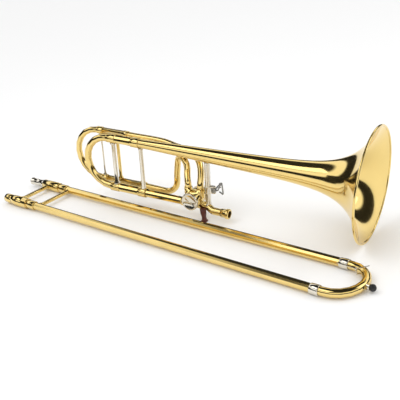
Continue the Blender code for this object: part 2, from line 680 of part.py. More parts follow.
def make_rotor(section):
    frame = make_empty("rotor_frame", section, (-VALVE_PLACE, 0, -VALVE_DROP))
    depth = VALVE_HALF_DEPTH
    inside = depth - BEARING_THICKNESS - PIVOT_GAP
    radius = VALVE_RADIUS - VALVE_WALL - PIVOT_GAP
    stem_back = depth + 0.0016 + 2 * SEAT_GAP + STOP_ARM_THICKNESS + 0.0012
    stem_front = -depth + SEAT_GAP
    profile = [(stem_back, 0), (stem_back, ROTOR_STEM_RADIUS), (inside, ROTOR_STEM_RADIUS),
               (inside, radius), (-inside, radius), (-inside, ROTOR_STEM_RADIUS),
               (stem_front, ROTOR_STEM_RADIUS), (stem_front, 0)]
    rotor = as_mesh(turned("rotor", profile, "nickel_silver", frame, direction=(0, 1, 0)))
    for side in (-1, 1):
        path = [Vector((x, 0, side * 0.0115 * (1 - (x / 0.030) ** 2) * 0.8)) for x in
                (-0.020, -0.012, -0.006, 0, 0.006, 0.012, 0.020)]
        cut(rotor, [round_cutter(f"channel_{side}", path, ROTOR_CHANNEL_RADIUS, frame, SMALL_SIDES)])
    make_stop_arm(frame, depth)
    return frame


def make_stop_arm(frame, depth):
    """The arm clamped on the rotor's stem, with the pin that the linkage pulls."""
    low = depth + 0.0016 + 2 * SEAT_GAP
    high = low + STOP_ARM_THICKNESS
    hub = as_mesh(turned("stop_arm", ring_profile(high, low, 0.0052, ROTOR_STEM_RADIUS + SEAT_GAP), "steel",
                         frame, direction=(0, 1, 0)))
    along = Vector((math.cos(ARM_REST_ANGLE), 0, math.sin(ARM_REST_ANGLE)))
    middle = Vector((0, (low + high) / 2, 0))
    arm = round_cutter("stop_arm_bar", [middle + along * 0.0042, middle + along * STOP_ARM_LENGTH],
                       STOP_ARM_THICKNESS * 0.46, frame, WIRE_SIDES)
    tip = along * STOP_ARM_LENGTH
    pin = round_cutter("stop_arm_pin", [tip + Vector((0, low + 0.0002, 0)), tip + Vector((0, high + 0.0042, 0))],
                       PIN_RADIUS, frame, WIRE_SIDES)
    combine(hub, arm, "UNION")
    combine(hub, pin, "UNION")
    return hub


def neck_path():
    start = -VALVE_PLACE + PORT_REACH + SEAT_GAP
    end = -NECK_BEND_END
    points = [Vector((start, 0, -LEG_SPACING))]
    start += 0.0030
    for i in range(7):
        t = i / 6
        ease = t * t * (3 - 2 * t)
        points.append(Vector((start + (end - start) * t, NECK_SIDE * ease,
                              -LEG_SPACING + (LEG_SPACING - NECK_DROP) * ease)))
    points.append(Vector((-RECEIVER_START + 0.0040, NECK_SIDE, -NECK_DROP)))
    return points


def make_neck(section):
    path = neck_path()
    tube("neckpipe", path, NECK_RADIUS, NECK_WALL, "lacquered_brass", section)
    start = -RECEIVER_START
    end = start + RECEIVER_LENGTH
    seat = NECK_RADIUS + SEAT_GAP
    pipe_end = start + 0.0040 + SEAT_GAP
    ease = 0.0008
    profile = [(end, RECEIVER_RADIUS - ease), (end - ease, RECEIVER_RADIUS),
               (end - 0.0055, RECEIVER_RADIUS), (end - 0.0080, RECEIVER_SMALL_RADIUS),
               (start, RECEIVER_SMALL_RADIUS), (start, seat), (pipe_end, seat),
               (pipe_end, RECEIVER_BORE - 0.0004), (end, RECEIVER_BORE)]
    turned("slide_receiver", profile, "lacquered_brass", section, (0, NECK_SIDE, -NECK_DROP), (1, 0, 0))
    foot = neck_point(-BELL_BRACE_PLACE)
    top = Vector((-BELL_BRACE_PLACE, 0, 0))
    bell_line = straight((-BELL_BRACE_PLACE - 0.02, 0, 0), (-BELL_BRACE_PLACE + 0.02, 0, 0))
    bell_seat = bell_radius(BELL_BRACE_PLACE - BELL_BRACE_RADIUS)
    brace("bell_brace", top, foot, BELL_BRACE_RADIUS, BELL_BRACE_RADIUS + 0.0006, "nickel_silver",
          section, ((bell_line, bell_seat), (path, NECK_RADIUS)))


def neck_point(x):
    """The neckpipe's axis where it crosses a place along X."""
    path = neck_path()
    for start, end in zip(path, path[1:]):
        if start.x <= x <= end.x:
            return start.lerp(end, (x - start.x) / (end.x - start.x))
    return path[-1]


def bell_brace_point(height):
    """The bell brace's axis at a height."""
    foot = neck_point(-BELL_BRACE_PLACE)
    top = Vector((-BELL_BRACE_PLACE, 0, 0))
    return top.lerp(foot, height / foot.z)


def make_lever_saddle(section):
    """A collar soldered round the bell brace, with two ears for the lever's pin."""
    ear_gap = HUB_HEIGHT + 2 * PIVOT_GAP
    half = ear_gap / 2 + EAR_THICKNESS
    low = bell_brace_point(PIVOT_HEIGHT - half)
    high = bell_brace_point(PIVOT_HEIGHT + half)
    length = (high - low).length
    bore = BELL_BRACE_RADIUS + SEAT_GAP
    collar = as_mesh(turned("lever_saddle", ring_profile(length, 0, bore + SADDLE_WALL, bore), "nickel_silver",
                            section, low, high - low))
    pivot = Vector((-PIVOT_PLACE, PIVOT_SIDE, PIVOT_HEIGHT))
    centre = bell_brace_point(PIVOT_HEIGHT)
    outward = Vector((pivot.x - centre.x, pivot.y - centre.y, 0))
    start = centre + outward.normalized() * (bore + SADDLE_WALL / 2)
    for index, offset in enumerate((-1, 1)):
        middle = offset * (ear_gap / 2 + EAR_THICKNESS / 2)
        ear = ear_block(f"ear_{index}", start, pivot, middle, section)
        combine(collar, ear, "UNION")
    up = Vector((0, 0, half + 0.002))
    pin_hole = round_cutter("saddle_pin_hole", [pivot - up, pivot + up], PIN_RADIUS + SEAT_GAP, section, SMALL_SIDES)
    cut(collar, [pin_hole])
    turned("lever_pin", [(half + 0.0008, 0), (half + 0.0008, PIN_RADIUS), (-half - 0.0008, PIN_RADIUS),
                         (-half - 0.0008, 0)], "steel", section, pivot, (0, 0, 1), SMALL_SIDES)


def ear_block(name, start, pivot, middle, parent):
    """A flat ear with a round end, from the collar to beyond the pin."""
    curve = bpy.data.curves.new(name, "CURVE")
    curve.dimensions = "2D"
    curve.fill_mode = "BOTH"
    curve.extrude = EAR_THICKNESS / 2
    along = Vector((pivot.x - start.x, pivot.y - start.y)).normalized()
    across = Vector((-along.y, along.x))
    width = HUB_RADIUS * 0.85
    outline = [Vector((start.x, start.y)) + across * width, Vector((start.x, start.y)) - across * width]
    for i in range(7):
        angle = -math.pi / 2 + math.pi * i / 6
        outline.append(Vector((pivot.x, pivot.y)) + along * (width * math.cos(angle)) + across * (width * math.sin(angle)))
    spline = curve.splines.new("POLY")
    spline.points.add(len(outline) - 1)
    spline.use_cyclic_u = True
    for point, place in zip(spline.points, outline):
        point.co = (place.x, place.y, 0, 1)
    ear = add_part(name, curve, "nickel_silver", parent)
    ear.location = (0, 0, PIVOT_HEIGHT + middle)
    return as_cutter(as_mesh(ear))


def make_thumb_lever(section):
    frame = make_empty("thumb_lever_frame", section, (-PIVOT_PLACE, PIVOT_SIDE, PIVOT_HEIGHT))
    half = HUB_HEIGHT / 2
    hub = as_mesh(turned("thumb_lever", ring_profile(half, -half, HUB_RADIUS, PIN_RADIUS + PIVOT_GAP), "steel",
                         frame, direction=(0, 0, 1), steps=SMALL_SIDES))
    tip = lever_tip()
    arm = round_cutter("lever_arm", [tip.normalized() * (HUB_RADIUS - 0.001), tip], LEVER_ARM_RADIUS, frame, WIRE_SIDES)
    up = Vector((0, 0, EYE_THICKNESS / 2))
    eye = round_cutter("lever_eye", [tip - up, tip + up], ROD_RADIUS + PIVOT_GAP + 0.0018, frame, SMALL_SIDES)
    combine(hub, arm, "UNION")
    hole = round_cutter("lever_eye_hole", [tip - 3 * up, tip + 3 * up], ROD_RADIUS + PIVOT_GAP, frame,
                        SMALL_SIDES)
    combine(hub, eye, "UNION")
    cut(hub, [hole])
    make_thumb_loop(frame)
    return frame


def lever_tip():
    """Where the lever's rear arm holds the linkage, in the lever's own frame."""
    return Vector((0.0, LEVER_ARM_LENGTH, 0.0))


def make_thumb_loop(frame):
    """The bent wire that the thumb presses: a stem, then once round a triangle."""
    origin = Vector((-PIVOT_PLACE, 0, PIVOT_HEIGHT))
    first, second, third = [Vector((x, 0, z)) - origin for x, z in LOOP_CORNERS]
    points = [Vector((HUB_RADIUS + SEAT_GAP, 0, 0))]
    points += [first.lerp(second, share) for share in (0.0, 0.90)]
    points += [second.lerp(third, share) for share in (0.10, 0.90)]
    back = first - third
    points += [third + back * 0.10, first - back.normalized() * (2 * WIRE_RADIUS + 2 * SEAT_GAP)]
    return tube("thumb_loop", points, WIRE_RADIUS, None, "steel", frame, WIRE_SIDES)


def make_linkage(section):
    """The rod between the lever's rear arm and the pin on the stop arm."""
    pin_side = VALVE_HALF_DEPTH + ROD_SIDE
    pin = Vector((-VALVE_PLACE + STOP_ARM_LENGTH * math.cos(ARM_REST_ANGLE), pin_side,
                  -VALVE_DROP + STOP_ARM_LENGTH * math.sin(ARM_REST_ANGLE)))
    frame = make_empty("linkage_frame", section, pin)
    tip = Vector((-PIVOT_PLACE, PIVOT_SIDE, PIVOT_HEIGHT)) + lever_tip() - pin
    below = tip - Vector((0, 0, ROD_DROP))
    start = below.normalized() * (PIN_RADIUS + PIVOT_GAP + ROD_RADIUS * 0.5)
    wide = PIN_RADIUS + PIVOT_GAP + 0.0015
    half = EYE_THICKNESS / 2
    rod = as_mesh(turned("linkage_rod", ring_profile(half, -half, wide, PIN_RADIUS + PIVOT_GAP), "steel",
                         frame, direction=(0, 1, 0), steps=SMALL_SIDES))
    bar = round_cutter("rod_bar", [start, below], ROD_RADIUS, frame, WIRE_SIDES)
    combine(rod, bar, "UNION")
    return frame


def make_rest_post(section):
    """The post under the neckpipe that the section stands on, upright, with a hollowed head."""
    neck = neck_point(-POST_PLACE)
    height = section_height(neck)
    centre = Vector((neck.x, POST_SIDE, neck.z))
    up = Vector((math.sin(-SECTION_TILT), 0, math.cos(SECTION_TILT)))
    foot = centre - up * (height / 1.0)
    profile = [(POST_HEIGHT, 0), (POST_HEIGHT, POST_HEAD_RADIUS), (POST_HEIGHT * 0.60, POST_HEAD_RADIUS * 0.96),
               (POST_HEIGHT * 0.36, POST_WAIST_RADIUS), (POST_HEIGHT * 0.14, POST_WAIST_RADIUS * 1.1),
               (0.0016, POST_FOOT_RADIUS), (0, POST_FOOT_RADIUS), (0, 0)]
    post = as_mesh(turned("rest_post", profile, "dark_leather", section, foot, up, SMALL_SIDES + 4))
    cutter = round_cutter("post_seat", neck_path_extended(), NECK_RADIUS + SEAT_GAP, section)
    stub = round_cutter("post_port_seat", straight((-VALVE_PLACE + 0.006, 0, -LEG_SPACING),
                                                   (-VALVE_PLACE + PORT_REACH + 0.0005, 0, -LEG_SPACING)),
                        PORT_RADIUS + SEAT_GAP, section)
    cut(post, [cutter, stub])
    return post


def neck_path_extended():
    path = neck_path()
    return [path[0] + Vector((-0.0010, 0, 0))] + path


def section_height(point):
    """World height of a point of the bell section's frame."""
    return bell_axis_height() - point.x * math.sin(SECTION_TILT) + point.z * math.cos(SECTION_TILT)


def bell_axis_height():
    """Height of the rim's centre with the bead's lowest point on the floor."""
    circle = RIM_RADIUS - BEAD_RADIUS
    return circle * math.cos(SECTION_TILT) - BEAD_RADIUS * math.sin(SECTION_TILT) + BEAD_RADIUS


def make_bell_section():
    section = make_empty("bell_section_frame", None, (0, 0, bell_axis_height()), (0, SECTION_TILT, 0))
    make_bell(section)
    make_fixed_sleeves(section)
    make_main_tuning_slide(section)
    make_f_tuning_slide(section)
    make_f_tubing(section)
    make_valve(section)
    make_rotor(section)
    make_neck(section)
    make_lever_saddle(section)
    make_thumb_lever(section)
    make_linkage(section)
    make_rest_post(section)
    return section


def rail(place, side):
    """A place on a rail: its distance back from the bow's end, on the side of +1 or -1."""
    return Vector((-place, side * RAIL_SPACING / 2, 0))


def make_inner_slide(slide):
    half = RAIL_SPACING / 2
    inner_radius = OUTER_TUBE_RADIUS - OUTER_TUBE_WALL - SLIDING_GAP
    bore = inner_radius + SEAT_GAP
    back = BARREL_END + BARREL_LENGTH
    for name, side in (("mouthpiece_side", 1), ("bell_side", -1)):
        tube(f"{name}_inner_tube", [rail(back, side), rail(INNER_TUBE_END, side)], inner_radius,
             INNER_TUBE_WALL, "chrome", slide, SMALL_SIDES)
    ease = 0.0010
    profile = [(0, BARREL_RADIUS - ease), (-ease, BARREL_RADIUS), (ease - BARREL_LENGTH, BARREL_RADIUS),
               (-BARREL_LENGTH, BARREL_RADIUS - ease), (-BARREL_LENGTH, bore), (0, bore)]
    turned("mouthpiece_side_barrel", profile, "lacquered_brass", slide, (-BARREL_END, half, 0))
    step = LOCK_RING_LENGTH + 2 * SEAT_GAP
    seat = BARREL_RADIUS - LOCK_RING_WALL
    profile = [(0, seat), (-step, seat), (-step, BARREL_RADIUS), (ease - BARREL_LENGTH, BARREL_RADIUS),
               (-BARREL_LENGTH, BARREL_RADIUS - ease), (-BARREL_LENGTH, bore), (0, bore)]
    turned("bell_side_barrel", profile, "lacquered_brass", slide, (-BARREL_END, -half, 0))
    brace("inner_slide_brace", rail(INNER_BRACE_PLACE, 1), rail(INNER_BRACE_PLACE, -1), SLIDE_BRACE_RADIUS,
          SLIDE_BRACE_RADIUS + 0.0012, "lacquered_brass", slide,
          (([rail(back, 1), rail(BARREL_END, 1)], BARREL_RADIUS),
           ([rail(back, -1), rail(BARREL_END, -1)], BARREL_RADIUS)))
    make_receiver_and_tenon(slide, back + SEAT_GAP)


def make_receiver_and_tenon(slide, back):
    """Behind the barrels: the socket for the mouthpiece, and the tenon that enters the neck's
    receiver, with its nut."""
    half = RAIL_SPACING / 2
    radius = MOUTHPIECE_RECEIVER_RADIUS
    length = MOUTHPIECE_RECEIVER_LENGTH
    profile = [(0, radius + 0.0012), (-0.0080, radius + 0.0012), (-0.0095, radius),
               (0.0015 - length, radius), (0.0010 - length, radius + 0.0008), (-length, radius + 0.0006),
               (-length, MOUTHPIECE_BORE + 0.0004), (0, MOUTHPIECE_BORE)]
    turned("mouthpiece_receiver", profile, "nickel_silver", slide, (-back, half, 0))
    turned("slide_tenon", ring_profile(0, -TENON_REACH, TENON_RADIUS, TENON_RADIUS - 0.0010),
           "nickel_silver", slide, (-back, -half, 0))
    frame = make_empty("connector_nut_frame", slide, (-back - SEAT_GAP, -half, 0))
    ease = 0.0008
    bore = TENON_RADIUS + PIVOT_GAP
    profile = [(0, NUT_RADIUS - ease), (-ease, NUT_RADIUS), (ease - NUT_LENGTH, NUT_RADIUS),
               (-NUT_LENGTH, NUT_RADIUS - ease), (-NUT_LENGTH, bore), (0, bore)]
    turned("connector_nut", profile, "lacquered_brass", frame)
    frame = make_empty("slide_lock_frame", slide, (-BARREL_END - SEAT_GAP, -half, 0))
    seat = BARREL_RADIUS - LOCK_RING_WALL + PIVOT_GAP
    turned("slide_lock_ring", ring_profile(0, -LOCK_RING_LENGTH, BARREL_RADIUS + PIVOT_GAP, seat),
           "lacquered_brass", frame)


def slide_bow_line():
    """The slide bow's axis, from the bell side round to the mouthpiece side."""
    half = RAIL_SPACING / 2
    centre = -half - OUTER_TUBE_RADIUS
    ring_middle = BOW_RING_PLACE + BOW_RING_LENGTH / 2
    angles = [-math.pi / 2 + math.pi * i / BEND_STEPS for i in range(BEND_STEPS + 1)]
    arc = [Vector((centre + half * math.cos(a), half * math.sin(a), 0)) for a in angles]
    return [rail(ring_middle - SEAT_GAP, -1)] + arc + [rail(ring_middle - SEAT_GAP, 1)]


def make_outer_slide(slide):
    frame = make_empty("outer_slide_frame", slide)
    half = RAIL_SPACING / 2
    top = BARREL_END - TOP_RING_GAP
    ring_middle = BOW_RING_PLACE + BOW_RING_LENGTH / 2
    bore = OUTER_TUBE_RADIUS + SEAT_GAP
    for name, side in (("mouthpiece_side", 1), ("bell_side", -1)):
        tube(f"{name}_outer_tube", [rail(top - SEAT_GAP, side), rail(ring_middle, side)],
             OUTER_TUBE_RADIUS, OUTER_TUBE_WALL, "lacquered_brass", frame)
        make_ferrule(f"{name}_top_ring", TOP_RING_LENGTH - top, -top, TOP_RING_RADIUS, bore,
                     "lacquered_brass", frame, side * half, 0)
        make_ferrule(f"{name}_bow_ring", -BOW_RING_PLACE, -BOW_RING_PLACE - BOW_RING_LENGTH,
                     OUTER_TUBE_RADIUS + SEAT_GAP + FERRULE_WALL, bore, "nickel_silver", frame,
                     side * half, 0)
    line = slide_bow_line()
    tube("slide_bow", line, OUTER_TUBE_RADIUS, SLIDE_BOW_WALL, "lacquered_brass", frame)
    brace("outer_slide_brace", rail(OUTER_BRACE_PLACE, 1), rail(OUTER_BRACE_PLACE, -1),
          SLIDE_BRACE_RADIUS, SLIDE_BRACE_RADIUS + 0.0012, "lacquered_brass", frame,
          (([rail(top, 1), rail(ring_middle, 1)], OUTER_TUBE_RADIUS),
           ([rail(top, -1), rail(ring_middle, -1)], OUTER_TUBE_RADIUS)))
    make_bumper(frame, line)
    make_water_key(frame, line)


def make_bumper(frame, line):
    front = BUMPER_BASE_LENGTH
    low = -OUTER_TUBE_RADIUS / 2
    base = as_mesh(turned("bumper_base", [(front, 0), (front, BUMPER_BASE_RADIUS),
                                         (low, BUMPER_BASE_RADIUS), (low, 0)], "nickel_silver", frame))
    cut(base, [round_cutter("bumper_seat", line, OUTER_TUBE_RADIUS + SEAT_GAP, frame)])
    start = front + SEAT_GAP
    end = start + 1.6 * BUMPER_RADIUS
    dome = [(end - BUMPER_RADIUS * (1 - math.cos(a)), BUMPER_RADIUS * math.sin(a) if i else 0)
            for i, a in enumerate(math.pi / 2 * j / 5 for j in range(6))]
    turned("bumper", dome + [(start, BUMPER_RADIUS * 0.8), (start, 0)], "black_rubber", frame)


def make_water_key(frame, line):
    """A post on the inside of the bow, with a lever that turns on its upright end."""
    half = RAIL_SPACING / 2
    centre = Vector((-half - OUTER_TUBE_RADIUS, 0, 0))
    inward = -Vector((math.cos(KEY_ANGLE), math.sin(KEY_ANGLE), 0))
    on_bow = centre - inward * half
    reach = OUTER_TUBE_RADIUS + KEY_POST_HEIGHT
    pivot = on_bow + inward * reach
    post = as_mesh(tube("water_key_post", [on_bow + inward * OUTER_TUBE_RADIUS / 2, pivot,
                                           pivot + Vector((0, 0, KEY_RISE + KEY_THICKNESS * 1.4))],
                        KEY_PIN_RADIUS, None, "nickel_silver", frame, SMALL_SIDES))
    cut(post, [round_cutter("key_post_seat", line, OUTER_TUBE_RADIUS + SEAT_GAP, frame)])
    key = make_empty("water_key_frame", frame, pivot + Vector((0, 0, KEY_RISE)))
    thick = KEY_THICKNESS / 2
    eye = as_mesh(turned("water_key", ring_profile(thick, -thick, KEY_PIN_RADIUS + PIVOT_GAP + 0.0012,
                                                   KEY_PIN_RADIUS + PIVOT_GAP), "nickel_silver", key,
                         direction=(0, 0, 1), steps=SMALL_SIDES))
    wide = KEY_PIN_RADIUS + PIVOT_GAP + thick / 2
    touch = Vector((-1, 0.06, 0)).normalized()
    over = -inward
    combine(eye, round_cutter("key_touch", [touch * wide, touch * KEY_LENGTH], thick * 0.9, key, WIRE_SIDES), "UNION")
    combine(eye, round_cutter("key_arm", [over * wide, over * (reach + KEY_CORK_OUT)], thick * 0.9, key, WIRE_SIDES),
            "UNION")
    return key


def make_hand_slide():
    ring = OUTER_TUBE_RADIUS + SEAT_GAP + FERRULE_WALL
    rest = BARREL_RADIUS + PIVOT_GAP
    near = BOW_RING_PLACE
    far = BARREL_END + LOCK_RING_LENGTH
    tilt = math.asin((rest - ring) / (far - near))
    height = ring - near * math.sin(tilt)
    slide = make_empty("hand_slide_frame", None, (SLIDE_BOW_AHEAD, -SLIDE_BOW_ASIDE, height),
                       (0, tilt, SLIDE_YAW))
    make_inner_slide(slide)
    make_outer_slide(slide)
    return slide


def centre_over_origin(tops):
    """Shift the assemblies so that the box round all pieces stands on the origin."""
    bpy.context.view_layer.update()
    graph = bpy.context.evaluated_depsgraph_get()
    corners = []
    for part in PARTS.objects:
        if part.type in {"MESH", "CURVE"}:
            shown = part.evaluated_get(graph)
            mesh = shown.to_mesh()
            corners.extend(part.matrix_world @ vertex.co for vertex in mesh.vertices)
            shown.to_mesh_clear()
    low = [min(corner[axis] for corner in corners) for axis in range(3)]
    high = [max(corner[axis] for corner in corners) for axis in range(3)]
    for top in tops:
        top.location.x -= (low[0] + high[0]) / 2
        top.location.y -= (low[1] + high[1]) / 2
        top.location.z -= low[2]
    bpy.context.view_layer.update()


def smooth_all():
    for part in PARTS.objects:
        if part.type == "MESH":
            shade(part.data)


centre_over_origin([make_bell_section(), make_hand_slide()])
smooth_all()
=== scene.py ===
"""The looks of the tenor trombone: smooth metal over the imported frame, a pale floor and soft light."""

import json
import math

import bmesh
import bpy
from mathutils import Matrix, Vector


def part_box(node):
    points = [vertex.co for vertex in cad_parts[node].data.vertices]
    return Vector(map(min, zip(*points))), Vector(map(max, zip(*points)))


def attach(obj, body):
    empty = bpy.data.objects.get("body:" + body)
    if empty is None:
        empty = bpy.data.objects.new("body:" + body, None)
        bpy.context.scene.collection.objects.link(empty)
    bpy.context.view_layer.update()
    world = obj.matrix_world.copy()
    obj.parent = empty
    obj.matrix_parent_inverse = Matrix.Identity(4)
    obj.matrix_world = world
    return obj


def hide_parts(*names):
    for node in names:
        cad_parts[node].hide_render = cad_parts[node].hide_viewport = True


bl_info = {
    "name": "Tenor trombone looks",
    "version": (1, 0, 0),
    "blender": (4, 5, 0),
    "location": "View3D > Sidebar > Trombone",
    "description": "Dresses the packed trombone and lights it",
    "category": "Object",
}

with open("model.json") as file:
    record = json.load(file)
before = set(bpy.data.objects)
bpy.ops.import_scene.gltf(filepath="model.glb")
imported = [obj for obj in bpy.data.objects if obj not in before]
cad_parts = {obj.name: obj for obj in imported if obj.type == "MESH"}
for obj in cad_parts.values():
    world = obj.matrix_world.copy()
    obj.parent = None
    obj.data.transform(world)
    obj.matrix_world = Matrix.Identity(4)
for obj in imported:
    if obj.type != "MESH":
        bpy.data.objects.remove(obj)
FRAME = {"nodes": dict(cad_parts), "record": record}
BEHAVIOUR = FRAME["record"]["behaviour"]
SLOTS = {entry["node"]: entry["material_slot"] for entry in FRAME["record"]["subparts"]}
BODIES = {node: body for body, nodes in BEHAVIOUR["bodies"].items() for node in nodes}
TURNED_NODES = ("bell", "bell_rim_bead")       # made here as smooth turned shapes
FINISHES = {}                                  # material by slot, filled by the first operator

# Bell, in metres
BELL_LENGTH = 0.4660
BELL_TAIL_RADIUS = 0.0082
BELL_TAPER = 0.0343
FLARE_LENGTH = 0.0360
RIM_RADIUS = 0.1020
BEAD_RADIUS = 0.0022
EDGE_GAP = 0.0003        # between the bell's edge and the bead
BELL_WALL = 0.0007
BELL_STEPS = 128         # round the axis
BELL_RINGS = 60          # along the axis
RING_CROWDING = 2.2      # above 1, the rings stand closer towards the mouth
BEAD_STEPS = 16

# Camera, placed from the middle of the bell's mouth, in metres and radians; the lens in millimetres
CAMERA_ASIDE = 0.3561
CAMERA_BACK = -1.1033
CAMERA_HEIGHT = 0.6231   # over the floor
CAMERA_YAW = 0.563
CAMERA_PITCH = 0.421
CAMERA_ROLL = -0.143
CAMERA_LENS = 67.5
CAMERA_SENSOR = 36.0
CAMERA_NEAR = 0.01

# Stage, in metres; a card is its name, size, place and the way it faces
FLOOR_SIDE = 30.0
STAGE_ROUGHNESS = 0.9
CARD_COLOUR = (0.01, 0.01, 0.01)
CARDS = (("left_card", (1.2, 0.9), (-1.5, -0.9, 0.50), (1, 0.5, 0)),
         ("front_card", (1.6, 0.5), (0.9, -2.2, 0.45), (-0.3, 1, 0)))
KEY_PLACE = (-0.5, -0.7, 1.6)
KEY_SIZE = (1.3, 0.8)
FILL_PLACE = (1.4, 0.6, 1.2)
FILL_SIZE = (0.8, 0.8)

# Light from the surroundings: on matt surfaces, and in reflections as (height, grey),
# where the height is 0 at the horizon and 1 overhead, the two ends that a colour ramp starts with
AMBIENT = (1.02, 1.02, 1.02)
SKY_BANDS = ((0.00, 0.02), (0.30, 0.02), (0.36, 1.15), (0.60, 1.15), (0.68, 0.03), (1.00, 0.02))

# The slow change of tone over every finish, as factors of its brightness
TONE_LOW = 0.90
TONE_HIGH = 1.08

SHARP_ANGLE = math.radians(38.0)
MERGE = 0.00001


class TromboneLooks(bpy.types.PropertyGroup):
    """Sizes, colours and strengths that the looks use."""

    flare_length: bpy.props.FloatProperty(name="Flare length", description="How slowly the flare dies away",
        default=FLARE_LENGTH, min=0.01, unit="LENGTH")
    bell_wall: bpy.props.FloatProperty(name="Bell wall", description="Thickness of the bell's sheet",
        default=BELL_WALL, min=0.0002, unit="LENGTH")
    brass: bpy.props.FloatVectorProperty(name="Brass", description="Brass colour",
        subtype="COLOR", size=3, default=(0.88, 0.66, 0.25))
    nickel: bpy.props.FloatVectorProperty(name="Nickel silver", description="Pale metal colour",
        subtype="COLOR", size=3, default=(0.80, 0.75, 0.64))
    chrome: bpy.props.FloatVectorProperty(name="Chrome", description="Chrome colour",
        subtype="COLOR", size=3, default=(0.80, 0.81, 0.82))
    steel: bpy.props.FloatVectorProperty(name="Steel", description="Steel colour",
        subtype="COLOR", size=3, default=(0.36, 0.36, 0.35))
    rubber: bpy.props.FloatVectorProperty(name="Rubber", description="Rubber colour",
        subtype="COLOR", size=3, default=(0.012, 0.012, 0.012))
    leather: bpy.props.FloatVectorProperty(name="Leather", description="Leather colour",
        subtype="COLOR", size=3, default=(0.10, 0.022, 0.015))
    floor: bpy.props.FloatVectorProperty(name="Floor", description="Floor colour",
        subtype="COLOR", size=3, default=(0.93, 0.93, 0.93))
    key_power: bpy.props.FloatProperty(name="Key light", description="Power of the key light",
        default=6.0, min=0, unit="POWER")
    fill_power: bpy.props.FloatProperty(name="Fill light", description="Power of the fill light",
        default=3.0, min=0, unit="POWER")


# Finishes

def tone_group():
    """A shared effect: a slow change of tone over a surface, in object space."""
    group = bpy.data.node_groups.new("surface_tone", "ShaderNodeTree")
    group.interface.new_socket("Colour", in_out="INPUT", socket_type="NodeSocketColor")
    group.interface.new_socket("Scale", in_out="INPUT", socket_type="NodeSocketFloat")
    group.interface.new_socket("Colour", in_out="OUTPUT", socket_type="NodeSocketColor")
    nodes = group.nodes
    start = nodes.new("NodeGroupInput")
    end = nodes.new("NodeGroupOutput")
    place = nodes.new("ShaderNodeTexCoord")
    noise = nodes.new("ShaderNodeTexNoise")
    ramp = nodes.new("ShaderNodeMapRange")
    tint = nodes.new("ShaderNodeHueSaturation")
    ramp.inputs["To Min"].default_value = TONE_LOW
    ramp.inputs["To Max"].default_value = TONE_HIGH
    group.links.new(place.outputs["Object"], noise.inputs["Vector"])
    group.links.new(start.outputs["Scale"], noise.inputs["Scale"])
    group.links.new(noise.outputs["Fac"], ramp.inputs["Value"])
    group.links.new(ramp.outputs["Result"], tint.inputs["Value"])
    group.links.new(start.outputs["Colour"], tint.inputs["Color"])
    group.links.new(tint.outputs["Color"], end.inputs["Colour"])
    return group


def make_material(name, colour, group, roughness, metallic, tone_scale):
    material = bpy.data.materials.new(name)
    material.use_nodes = True
    tree = material.node_tree
    shader = tree.nodes["Principled BSDF"]
    shader.inputs["Roughness"].default_value = roughness
    shader.inputs["Metallic"].default_value = metallic
    tone = tree.nodes.new("ShaderNodeGroup")
    tone.node_tree = group
    tone.inputs["Colour"].default_value = (*colour, 1.0)
    tone.inputs["Scale"].default_value = tone_scale
    tree.links.new(tone.outputs["Colour"], shader.inputs["Base Color"])
    return material


def lacquered_brass(looks, group):
    return make_material("lacquered_brass", looks.brass, group, roughness=0.10, metallic=1.0, tone_scale=18.0)


def nickel_silver(looks, group):
    return make_material("nickel_silver", looks.nickel, group, roughness=0.13, metallic=1.0, tone_scale=22.0)


def chrome(looks, group):
    return make_material("chrome", looks.chrome, group, roughness=0.06, metallic=1.0, tone_scale=10.0)


def steel(looks, group):
    return make_material("steel", looks.steel, group, roughness=0.28, metallic=1.0, tone_scale=60.0)


def black_rubber(looks, group):
    return make_material("black_rubber", looks.rubber, group, roughness=0.45, metallic=0.0, tone_scale=80.0)


def dark_leather(looks, group):
    return make_material("dark_leather", looks.leather, group, roughness=0.42, metallic=0.0, tone_scale=120.0)


# Pieces

def smooth(mesh):
    mesh.shade_smooth()
    mesh.set_sharp_from_angle(angle=SHARP_ANGLE)


def finish_piece(node, mesh):
    """Put a mesh in a CAD node's place, on the node's body and with its finish."""
    piece = bpy.data.objects.new(f"{node}_skin", mesh)
    bpy.context.scene.collection.objects.link(piece)
    mesh.materials.clear()
    mesh.materials.append(FINISHES[SLOTS[node]])
    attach(piece, BODIES[node])
    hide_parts(node)


def dress_node(node):
    """A smooth-shaded skin with the node's own shape."""
    mesh = FRAME["nodes"][node].data.copy()
    work = bmesh.new()
    work.from_mesh(mesh)
    bmesh.ops.remove_doubles(work, verts=work.verts, dist=MERGE)
    work.to_mesh(mesh)
    work.free()
    if mesh.has_custom_normals:
        # Zero vectors clear the normals that were stored with the flat faces.
        mesh.normals_split_custom_set([(0, 0, 0)] * len(mesh.loops))
    smooth(mesh)
    finish_piece(node, mesh)


def section_matrix():
    """The bell section's own frame: +X along the bell's axis to the mouth, 0 at the rim's face."""
    joints = {joint["name"]: joint for joint in BEHAVIOUR["joints"]}
    along = -Vector(joints["main_tuning"]["axis"]).normalized()
    low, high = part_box("bell_rim_bead")
    origin = (low + high) / 2 + along * BEAD_RADIUS
    across = Vector((0, 1, 0))
    up = along.cross(across)
    turn = Matrix((along, across, up)).transposed().to_4x4()
    return Matrix.Translation(origin) @ turn


